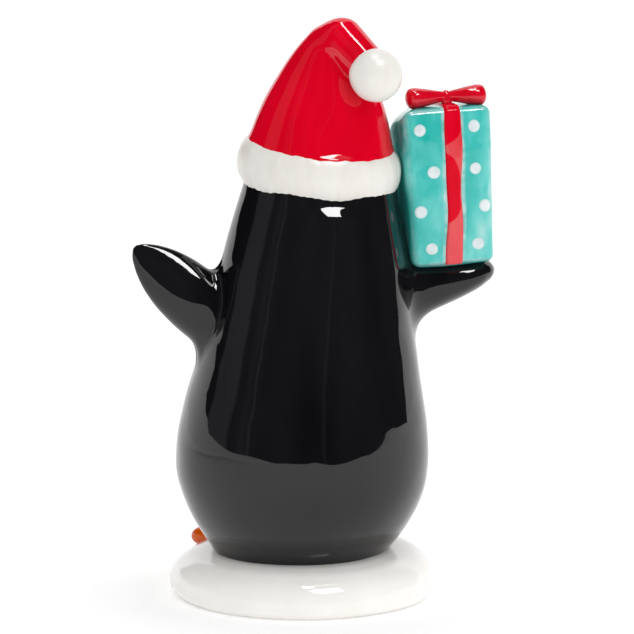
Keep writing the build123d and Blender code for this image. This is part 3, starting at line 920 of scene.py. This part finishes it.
def black_glaze():
    material, tree, surface, coordinates = glaze("black_glaze", roughness=0.03, wave=0.2, pit=0.02)
    streaks = noise(tree, coordinates, scale=40.0, detail=4.0, stretch=(1, 1, 0.15))
    colour = ramp(tree, streaks, (0.35, srgb(12, 11, 14)), (0.65, srgb(21, 20, 23)))
    tree.links.new(colour, surface.inputs["Base Color"])
    return material


def red_glaze():
    material, tree, surface, coordinates = glaze("red_glaze", roughness=0.04, wave=0.15, pit=0.02)
    brushing = noise(tree, coordinates, scale=60.0, detail=4.0, stretch=(1, 1, 0.3))
    colour = ramp(tree, brushing, (0.3, srgb(208, 0, 27)), (0.7, srgb(231, 0, 38)))
    tree.links.new(colour, surface.inputs["Base Color"])
    return material


def fur_glaze():
    material, tree, surface, coordinates = glaze("fur_glaze", roughness=0.28, wave=0.06, pit=0.02)
    brushing = noise(tree, coordinates, scale=110.0, detail=4.0, stretch=(1, 1, 0.22))
    cloud = noise(tree, coordinates, scale=35.0, detail=2.0)
    strokes = ramp(tree, brushing, (0.30, srgb(214, 206, 195)), (0.52, srgb(232, 229, 223)))
    colour = mix(tree, cloud, strokes, srgb(236, 233, 228))
    tree.links.new(colour, surface.inputs["Base Color"])
    surface.inputs["Specular IOR Level"].default_value = 0.3
    return material


def snow_glaze():
    material, tree, surface, coordinates = glaze("snow_glaze", roughness=0.08, wave=0.25, pit=0.03)
    cloud = noise(tree, coordinates, scale=45.0, detail=3.0)
    colour = ramp(tree, cloud, (0.3, srgb(246, 243, 238)), (0.7, srgb(252, 250, 247)))
    tree.links.new(colour, surface.inputs["Base Color"])
    return material


def white_glaze():
    material, tree, surface, coordinates = glaze("white_glaze", roughness=0.06, wave=0.2, pit=0.02)
    cloud = noise(tree, coordinates, scale=70.0, detail=3.0)
    colour = ramp(tree, cloud, (0.3, srgb(234, 230, 224)), (0.7, srgb(245, 243, 239)))
    tree.links.new(colour, surface.inputs["Base Color"])
    return material


def teal_glaze():
    material, tree, surface, coordinates = glaze("teal_glaze", roughness=0.06, wave=0.15, pit=0.02)
    brushing = noise(tree, coordinates, scale=80.0, detail=5.0, stretch=(1, 1, 0.45))
    patches = noise(tree, coordinates, scale=260.0, detail=3.0)
    colour = ramp(
        tree, brushing,
        (0.34, srgb(34, 178, 170)), (0.45, srgb(68, 192, 184)),
        (0.55, srgb(100, 204, 197)), (0.66, srgb(156, 216, 212)),
    )
    ragged = ramp(tree, patches, (0.38, (0.25, 0.25, 0.25, 1)), (0.62, COVERED))
    # Pale mix: glaze wearing away at the edges and beside the ribbon, plus a painted reflection of the
    # brim on the inner face
    worn_and_reflection = sum_up(tree, "MULTIPLY", painted(tree, "thin_glaze_and_reflection"), ragged)
    colour = mix(tree, sum_up(tree, "MULTIPLY", worn_and_reflection, 0.75), colour, srgb(206, 226, 224))
    pool = sum_up(tree, "MULTIPLY", painted(tree, "pooled"), 0.75)
    colour = mix(tree, pool, colour, srgb(14, 118, 116))
    tree.links.new(colour, surface.inputs["Base Color"])
    shaded = sum_up(tree, "MULTIPLY", painted(tree, "inner"), 0.5)
    dull = sum_up(tree, "SUBTRACT", GLAZE_SPECULAR, shaded)
    tree.links.new(dull, surface.inputs["Specular IOR Level"])
    return material


def dot_glaze():
    material, tree, surface, coordinates = glaze("dot_glaze", roughness=0.07, wave=0.08, pit=0.01)
    cloud = noise(tree, coordinates, scale=190.0, detail=3.0)
    white = ramp(tree, cloud, (0.3, srgb(208, 220, 223)), (0.7, srgb(231, 238, 240)))
    edge = ramp(tree, painted(tree, "rim"), (0.72, BARE), (1.0, (0.8, 0.8, 0.8, 1)))
    tree.links.new(mix(tree, edge, white, srgb(176, 218, 214)), surface.inputs["Base Color"])
    return material


def ribbon_glaze():
    material, tree, surface, coordinates = glaze("ribbon_glaze", roughness=0.05, wave=0.1, pit=0.02)
    brushing = noise(tree, coordinates, scale=130.0, detail=3.0, stretch=(1, 1, 0.3))
    first_coat = ramp(tree, brushing, (0.35, srgb(224, 58, 66)), (0.65, srgb(228, 84, 88)))
    second_coat = ramp(tree, brushing, (0.35, srgb(214, 2, 32)), (0.65, srgb(226, 14, 44)))
    ragged = sum_up(tree, "ADD", painted(tree, "core"), sum_up(tree, "MULTIPLY", brushing, 0.3))
    cover = ramp(tree, ragged, (0.45, BARE), (0.75, COVERED))
    tree.links.new(mix(tree, cover, first_coat, second_coat), surface.inputs["Base Color"])
    dull = sum_up(tree, "SUBTRACT", GLAZE_SPECULAR, sum_up(tree, "MULTIPLY", cover, 0.42))
    tree.links.new(dull, surface.inputs["Specular IOR Level"])
    return material


def bow_glaze():
    material, tree, surface, coordinates = glaze("bow_glaze", roughness=0.05, wave=0.1, pit=0.02)
    brushing = noise(tree, coordinates, scale=110.0, detail=3.0, stretch=(0.4, 1, 1))
    colour = ramp(
        tree, brushing,
        (0.36, srgb(206, 2, 30)), (0.56, srgb(218, 14, 42)), (0.74, srgb(228, 70, 78)),
    )
    tree.links.new(colour, surface.inputs["Base Color"])
    return material


def orange_glaze():
    material, tree, surface, coordinates = glaze("orange_glaze", roughness=0.06, wave=0.15, pit=0.02)
    mottle = noise(tree, coordinates, scale=160.0, detail=4.0)
    colour = ramp(tree, mottle, (0.3, srgb(172, 56, 0)), (0.7, srgb(238, 104, 0)))
    tree.links.new(colour, surface.inputs["Base Color"])
    surface.inputs["Specular IOR Level"].default_value = 0.25
    return material


# Pieces

def make_black_body(material):
    box = node_box("body_shell", "left_flipper", "right_flipper")
    piece = glazed_skin("black_body", black_body, box, BODY_NET, material)
    return hand_over(piece, "black_glaze", "body_shell", "left_flipper", "right_flipper")


def make_white_front(material):
    piece = glazed_skin("white_front_glaze", white_front, node_box("white_front"), FRONT_NET, material)
    return hand_over(piece, "white_glaze", "white_front")


def make_snow_base(material):
    piece = glazed_skin("snow_base_glaze", snow_mound, node_box("snow_base"), BASE_NET, material)
    return hand_over(piece, "snow_glaze", "snow_base")


def make_hat(material):
    box = node_box("hat_crown", grow=5.0)
    piece = glazed_skin("hat_crown_glaze", hat_crown, box, CROWN_NET, material)
    return hand_over(piece, "red_glaze", "hat_crown")


def make_brim(material):
    piece = glazed_skin("hat_brim_fur", fur_roll, node_box("hat_brim"), BRIM_NET, material)
    return hand_over(piece, "fur_glaze", "hat_brim")


def make_pom(material):
    piece = glazed_skin("pom_pom_fur", pom_ball, node_box("pom_pom"), POM_NET, material)
    return hand_over(piece, "fur_glaze", "pom_pom")


def make_gift(material):
    box = node_box("gift_box")
    piece = glazed_skin("gift_box_glaze", gift_block, box, GIFT_NET, material, gift_paint)
    return hand_over(piece, "teal_glaze", "gift_box")


def dab_shape(tree, given):
    """A flat round dab that remembers how near its rim each point is, and its lift."""
    ball = new_node(tree, "GeometryNodeMeshUVSphere", Segments=28, Rings=14, Radius=1.0)
    where = tree.nodes.new("GeometryNodeInputPosition").outputs[0]
    parts = wire(tree, "ShaderNodeSeparateXYZ", Vector=where)
    flat = wire(tree, "ShaderNodeCombineXYZ", X=parts.outputs["X"], Y=parts.outputs["Y"])
    out = wire(tree, "ShaderNodeVectorMath", Vector=flat.outputs[0])
    out.operation = "LENGTH"
    shape = ball.outputs["Mesh"]
    for tag, value in (("rim", out.outputs["Value"]), ("lift", parts.outputs["Z"])):
        keep = new_node(tree, "GeometryNodeStoreNamedAttribute", Name=tag)
        tree.links.new(shape, keep.inputs["Geometry"])
        tree.links.new(value, keep.inputs["Value"])
        shape = keep.outputs["Geometry"]
    radius = given.outputs["Dot Radius"]
    size = wire(tree, "ShaderNodeCombineXYZ", X=radius, Y=radius)
    return wire(tree, "GeometryNodeTransform", Geometry=shape, Scale=size.outputs[0]).outputs[0]


def scattered_dabs(tree, given, shape):
    """A dab at each point, facing out of the gift, each a little different in size."""
    facing = new_node(tree, "GeometryNodeInputNamedAttribute", Name="facing")
    facing.data_type = "FLOAT_VECTOR"
    upright = wire(tree, "FunctionNodeAlignRotationToVector", Vector=facing.outputs["Attribute"])
    upright.axis = "Z"
    uneven = new_node(tree, "FunctionNodeRandomValue", Seed=DOT_SEED)
    uneven.data_type = "FLOAT_VECTOR"
    uneven.inputs[0].default_value = DOT_SMALLEST
    uneven.inputs[1].default_value = DOT_LARGEST
    dabs = wire(tree, "GeometryNodeInstanceOnPoints", Points=given.outputs["Points"], Instance=shape,
                Rotation=upright.outputs[0], Scale=uneven.outputs[0])
    return wire(tree, "GeometryNodeRealizeInstances", Geometry=dabs.outputs[0]).outputs[0]


def laid_on_gift(tree, given, dabs):
    """The dabs pressed onto the skin of the gift and raised by the height of their glaze."""
    gift = wire(tree, "GeometryNodeObjectInfo", Object=given.outputs["Gift"]).outputs["Geometry"]
    nearest = tree.nodes.new("GeometryNodeProximity")
    tree.links.new(gift, nearest.inputs[0])
    skin = tree.nodes.new("GeometryNodeSampleNearestSurface")
    skin.data_type = "FLOAT_VECTOR"
    tree.links.new(gift, skin.inputs["Mesh"])
    tree.links.new(tree.nodes.new("GeometryNodeInputNormal").outputs[0], skin.inputs["Value"])
    lift = new_node(tree, "GeometryNodeInputNamedAttribute", Name="lift")
    proud = sum_up(tree, "MULTIPLY", lift.outputs["Attribute"], given.outputs["Dot Proud"])
    raised = tree.nodes.new("ShaderNodeVectorMath")
    raised.operation = "SCALE"
    tree.links.new(skin.outputs["Value"], raised.inputs[0])
    tree.links.new(proud, raised.inputs["Scale"])
    lay = wire(tree, "GeometryNodeSetPosition", Geometry=dabs, Position=nearest.outputs["Position"],
               Offset=raised.outputs[0])
    return lay.outputs[0]


def dot_tree():
    """Geometry Nodes that lay a thin round dome of glaze on the gift at each point."""
    tree = bpy.data.node_groups.new("glaze_dots", "GeometryNodeTree")
    for name, kind in (("Points", "Geometry"), ("Gift", "Object"), ("Dot Glaze", "Material")):
        tree.interface.new_socket(name, in_out="INPUT", socket_type="NodeSocket" + kind)
    for name in ("Dot Radius", "Dot Proud"):
        tree.interface.new_socket(name, in_out="INPUT", socket_type="NodeSocketFloat")
    tree.interface.new_socket("Dots", in_out="OUTPUT", socket_type="NodeSocketGeometry")
    given = tree.nodes.new("NodeGroupInput")
    result = tree.nodes.new("NodeGroupOutput")
    dabs = scattered_dabs(tree, given, dab_shape(tree, given))
    smooth = wire(tree, "GeometryNodeSetShadeSmooth", Geometry=laid_on_gift(tree, given, dabs))
    coat = wire(tree, "GeometryNodeSetMaterial", Geometry=smooth.outputs[0],
                Material=given.outputs["Dot Glaze"])
    tree.links.new(coat.outputs[0], result.inputs[0])
    return tree


def dot_spots():
    """Middles of the dots on the skin of the gift, and the way each one faces."""
    spots = []
    for along, up in NEAR_DOTS:
        spots.append((along, GIFT_HALF_DEPTH[1], up))
        spots.append((-along, -GIFT_HALF_DEPTH[1], up))
    for along, up in END_DOTS:
        spots.append((-GIFT_HALF_WIDTH[1], along, up))
    return settle(outward(spots, GIFT), gift_block, DOT_SETTLE_ROUNDS)


def dot_points():
    """A point at the middle of each dot, which knows the way it faces."""
    spots = dot_spots()
    mesh = bpy.data.meshes.new("gift_dots")
    mesh.from_pydata((spots * MM).tolist(), [], [])
    facing = mesh.attributes.new("facing", "FLOAT_VECTOR", "POINT")
    facing.data.foreach_set("vector", uphill(spots, gift_block).ravel())
    return mesh


def make_dots(gift, material):
    piece = bpy.data.objects.new("gift_dots", dot_points())
    bpy.context.scene.collection.objects.link(piece)
    tree = dot_tree()
    dabbing = piece.modifiers.new("dabbing", "NODES")
    dabbing.node_group = tree
    values = {"Gift": gift, "Dot Glaze": material,
              "Dot Radius": DOT_RADIUS * MM, "Dot Proud": DOT_PROUD * MM}
    for socket in tree.interface.items_tree:
        if socket.name in values:
            dabbing[socket.identifier] = values[socket.name]
    done = piece.evaluated_get(bpy.context.evaluated_depsgraph_get())
    dots = bpy.data.meshes.new_from_object(done)
    piece.modifiers.remove(dabbing)
    piece.data = dots
    return hand_over(piece, "white_glaze")


def make_ribbon(material):
    box = node_box("gift_ribbon")
    piece = glazed_skin("gift_ribbon_glaze", ribbon_band, box, RIBBON_NET, material, ribbon_paint)
    return hand_over(piece, "ribbon_glaze", "gift_ribbon")


def make_loop(node, side, length, rise, material):
    def form(points):
        return bow_loop(points, side, length, rise)
    piece = glazed_skin(node + "_glaze", form, node_box(node, grow=4.0), LOOP_NET, material)
    return hand_over(piece, "ribbon_glaze", node)


def make_knot(material):
    box = node_box("bow_knot", grow=3.0)
    piece = glazed_skin("bow_knot_glaze", bow_knot, box, KNOT_NET, material)
    return hand_over(piece, "ribbon_glaze", "bow_knot")


def make_foot(node, side, material):
    def form(points):
        return foot(points, side)
    piece = glazed_skin(node + "_glaze", form, node_box(node, grow=6.0), FOOT_NET, material)
    return hand_over(piece, "orange_glaze", node)


def make_beak(material):
    piece = glazed_skin("beak_glaze", beak, node_box("beak", grow=6.0), BEAK_NET, material)
    return hand_over(piece, "orange_glaze", "beak")


def make_eye(node, material):
    def form(points):
        return eye(points, node)
    piece = glazed_skin(node + "_glaze", form, node_box(node, grow=3.0), EYE_NET, material)
    return hand_over(piece, "black_glaze", node)


# Studio

def direction(azimuth_deg, elevation_deg):
    """From the figurine towards a place round it and above it."""
    a = math.radians(azimuth_deg)
    e = math.radians(elevation_deg)
    return Vector((math.sin(a) * math.cos(e), -math.cos(a) * math.cos(e), math.sin(e)))


def set_camera():
    data = bpy.data.cameras.new("photo_camera")
    data.lens = PHOTO_LENS
    data.sensor_width = PHOTO_SENSOR
    data.clip_end = PHOTO_REACH
    camera = bpy.data.objects.new("photo_camera", data)
    back = direction(PHOTO_AZIMUTH_DEG, PHOTO_ELEVATION_DEG)
    camera.location = (Vector(PHOTO_TARGET) + PHOTO_DISTANCE * back) * MM
    camera.rotation_euler = back.to_track_quat("Z", "Y").to_euler()
    bpy.context.scene.collection.objects.link(camera)
    bpy.context.scene.camera = camera


def stage_mesh(name, points, faces, material):
    mesh = bpy.data.meshes.new(name)
    mesh.from_pydata(points, [], faces)
    mesh.materials.append(material)
    thing = bpy.data.objects.new(name, mesh)
    bpy.context.scene.collection.objects.link(thing)
    return thing


def floor_paper():
    material = bpy.data.materials.new("floor_paper")
    material.use_nodes = True
    surface = material.node_tree.nodes["Principled BSDF"]
    surface.inputs["Base Color"].default_value = (FLOOR_GREY, FLOOR_GREY, FLOOR_GREY, 1)
    surface.inputs["Roughness"].default_value = FLOOR_ROUGHNESS
    surface.inputs["Specular IOR Level"].default_value = 0.0
    surface.inputs["Emission Color"].default_value = (1, 1, 1, 1)
    surface.inputs["Emission Strength"].default_value = FLOOR_GLOW
    return material


def glow(name, strength):
    material = bpy.data.materials.new(name)
    material.use_nodes = True
    tree = material.node_tree
    tree.nodes.remove(tree.nodes["Principled BSDF"])
    emission = new_node(tree, "ShaderNodeEmission", Strength=strength)
    tree.links.new(emission.outputs[0], tree.nodes["Material Output"].inputs["Surface"])
    return material, tree, emission


def seen_in_gloss_only(thing):
    thing.visible_camera = False
    thing.visible_diffuse = False
    thing.visible_shadow = False
    thing.visible_transmission = False
    thing.visible_volume_scatter = False


def room_grey():
    """The dim greys that go round the room, with edges that wander a little."""
    material, tree, emission = glow("dim_room", 1.0)
    coordinates = tree.nodes.new("ShaderNodeTexCoord").outputs["Object"]
    wander = sum_up(tree, "MULTIPLY", noise(tree, coordinates, scale=1.6, detail=2.0), ROOM_WANDER)
    shift = sum_up(tree, "ADD", painted(tree, "round_the_room"), wander)
    grey = [(share, (level, level, level * ROOM_BLUE, 1)) for share, level in ROOM_LEVELS]
    tree.links.new(ramp(tree, shift, *grey), emission.inputs["Color"])
    return material


def room_rows(share):
    """Radius and height of each row of the room's wall, all the way round."""
    full = np.ones_like(share)
    foot_radius = np.interp(share, *zip(*ROOM_FOOT_RADIUS))
    foot_height = np.interp(share, *zip(*ROOM_FOOT_HEIGHT))
    rows = [(foot_radius, foot_height), (ROOM_RADIUS * full, foot_height)]
    return rows + [(radius * full, height * full) for radius, height in ROOM_UPPER_ROWS]


def dark_room():
    """The dim room around the photo table, seen only as reflections in the glaze."""
    share = np.arange(ROOM_SPOKES + 1) / ROOM_SPOKES
    past_right = np.clip((share - ROOM_RIGHT_START_SHARE) / (1 - ROOM_RIGHT_START_SHARE), 0, 1)
    right_start = ROOM_REACH_DEG * (2 * ROOM_RIGHT_START_SHARE - 1)
    before_right = np.minimum(ROOM_REACH_DEG * (2 * share - 1), right_start)
    rows = room_rows(share)
    points = []
    for (radius, height), reach in zip(rows, ROOM_RIGHT_REACH_DEG):
        round_to = before_right + (reach - right_start) * past_right
        a = np.radians(PHOTO_AZIMUTH_DEG + round_to)
        points += np.column_stack((radius * np.sin(a), -radius * np.cos(a), height)).tolist()
    faces = []
    for i in range(len(rows) - 1):
        for j in range(ROOM_SPOKES):
            k = i * (ROOM_SPOKES + 1) + j
            faces.append((k, k + 1, k + ROOM_SPOKES + 2, k + ROOM_SPOKES + 1))
    room = stage_mesh("dim_room", points, faces, room_grey())
    tag = room.data.attributes.new("round_the_room", "FLOAT", "POINT")
    tag.data.foreach_set("value", np.tile(share, len(rows)).astype(np.float32))
    seen_in_gloss_only(room)


def card(name, middle, across, along, material):
    """A flat card, from its middle and its two half sides."""
    points = [Vector(middle) + x * Vector(across) + y * Vector(along) for x, y in SQUARE]
    return stage_mesh(name, [tuple(p) for p in points], [(0, 1, 2, 3)], material)


def window():
    """A bright window beyond the camera, seen only as a highlight in the glaze."""
    a = math.radians(WINDOW_AZIMUTH_DEG)
    out = direction(WINDOW_AZIMUTH_DEG, WINDOW_ELEVATION_DEG)
    across = Vector((math.cos(a), math.sin(a), 0))
    half_width = across * WINDOW_SIZE[0] / 2
    half_height = out.cross(across) * WINDOW_SIZE[1] / 2
    light = glow("window", WINDOW_LIGHT)[0]
    seen_in_gloss_only(card("window", WINDOW_DISTANCE * out, half_width, half_height, light))


def ceiling_lamp():
    """A long lamp overhead, seen only as thin highlights along the ridges."""
    material = glow("ceiling_lamp", CEILING_LAMP_LIGHT)[0]
    across = (CEILING_LAMP_SIZE[0] / 2, 0, 0)
    along = (0, CEILING_LAMP_SIZE[1] / 2, 0)
    seen_in_gloss_only(card("ceiling_lamp", CEILING_LAMP_MIDDLE, across, along, material))


def shade_flag():
    """A black card on the left, which only dims the soft light from that side."""
    material = bpy.data.materials.new("shade_flag")
    material.use_nodes = True
    surface = material.node_tree.nodes["Principled BSDF"]
    surface.inputs["Base Color"].default_value = (FLAG_GREY, FLAG_GREY, FLAG_GREY, 1)
    half_width = FLAG_SIZE[0] / 2
    half_height = FLAG_SIZE[1] / 2
    middle = (FLAG_OUT, 0, half_height)
    flag = card("shade_flag", middle, (0, half_width, 0), (0, 0, half_height), material)
    flag.visible_camera = False
    flag.visible_glossy = False
    flag.visible_shadow = False


def set_studio():
    corners = [(x * FLOOR_HALF, y * FLOOR_HALF, 0) for x, y in SQUARE]
    stage_mesh("floor", corners, [(0, 1, 2, 3)], floor_paper())
    world = bpy.data.worlds.new("white_studio")
    world.use_nodes = True
    sky = world.node_tree.nodes["Background"]
    sky.inputs["Color"].default_value = (1, 1, 1, 1)
    sky.inputs["Strength"].default_value = STUDIO_LIGHT
    bpy.context.scene.world = world
    bpy.context.scene.view_settings.view_transform = "Standard"
    dark_room()
    window()
    ceiling_lamp()
    shade_flag()
    set_camera()


black = black_glaze()
red = red_glaze()
fur = fur_glaze()
make_black_body(black)
make_eye("left_eye", black)
make_eye("right_eye", black)
make_white_front(white_glaze())
make_snow_base(snow_glaze())
make_hat(red)
make_brim(fur)
make_pom(fur)
make_dots(make_gift(teal_glaze()), dot_glaze())
make_ribbon(ribbon_glaze())
bow = bow_glaze()
make_loop("bow_left_loop", LEFT, LEFT_LOOP_LENGTH, LEFT_LOOP_RISE, bow)
make_loop("bow_right_loop", RIGHT, RIGHT_LOOP_LENGTH, RIGHT_LOOP_RISE, bow)
make_knot(bow)
orange = orange_glaze()
make_foot("left_foot", LEFT, orange)
make_foot("right_foot", RIGHT, orange)
make_beak(orange)
set_studio()
